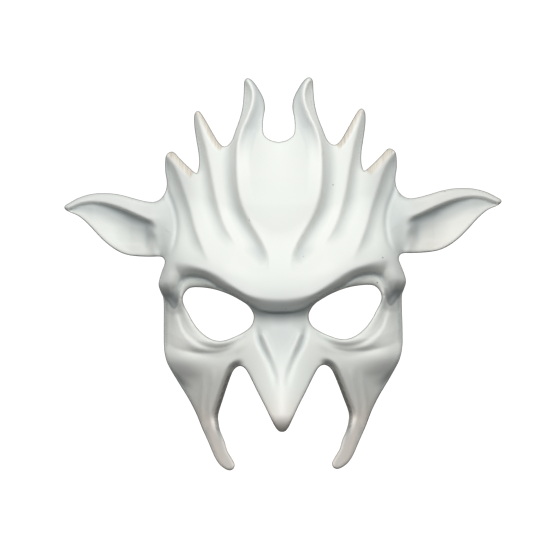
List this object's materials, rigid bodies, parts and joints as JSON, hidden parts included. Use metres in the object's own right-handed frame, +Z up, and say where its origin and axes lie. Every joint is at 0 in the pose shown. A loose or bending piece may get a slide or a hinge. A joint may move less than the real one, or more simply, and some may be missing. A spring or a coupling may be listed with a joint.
{
  "type": "horned half mask",
  "caption": "Half mask with branched horns, pointed ears, a heavy brow and a hooked beak over a hollow back, worn on foam pads and held by an elastic strap on eyelets.",
  "frame": {"origin": "inner face of the shell at the bridge of the nose, midway between the eye openings", "axes": "+X across the face to the wearer's left, +Y back through the wearer's head, +Z up; the mask looks along -Y"},
  "size_m": [0.2638, 0.2268, 0.2346],
  "materials": {
    "shell": "matte white paint over a cream casting",
    "foam": "brushed cloth over soft foam",
    "leather": "undyed, matte",
    "nickel": "nickel plated, satin",
    "webbing": "woven",
    "elastic": "woven elastic",
    "thread": "twisted thread",
    "slider": "moulded, satin"
  },
  "bodies": {
    "mask": {"mask_shell": "shell", "brow_pad": "foam", "left_nose_pad": "foam", "right_nose_pad": "foam", "left_cheek_pad": "foam", "right_cheek_pad": "foam", "left_strap_tab": "leather", "right_strap_tab": "leather", "left_eyelet": "nickel", "right_eyelet": "nickel", "left_washer": "nickel", "right_washer": "nickel"},
    "strap": {"left_chape": "webbing", "right_chape": "webbing", "chape_stitches": "thread", "left_loop": "nickel", "right_loop": "nickel", "head_strap": "elastic", "strap_stitches": "thread"},
    "slider": {"strap_slider": "slider"}
  },
  "joints": [
    {"name": "strap_swing", "type": "hinge", "parent": "mask", "child": "strap", "pos_m": [0, 0.045, 0.028], "axis": [1, 0, 0], "range_deg": [-70, 75]},
    {"name": "slider_slide", "type": "slide", "parent": "strap", "child": "slider", "axis": [0.0506, 0.9987, 0], "range_m": [-0.015, 0.012]}
  ]
}
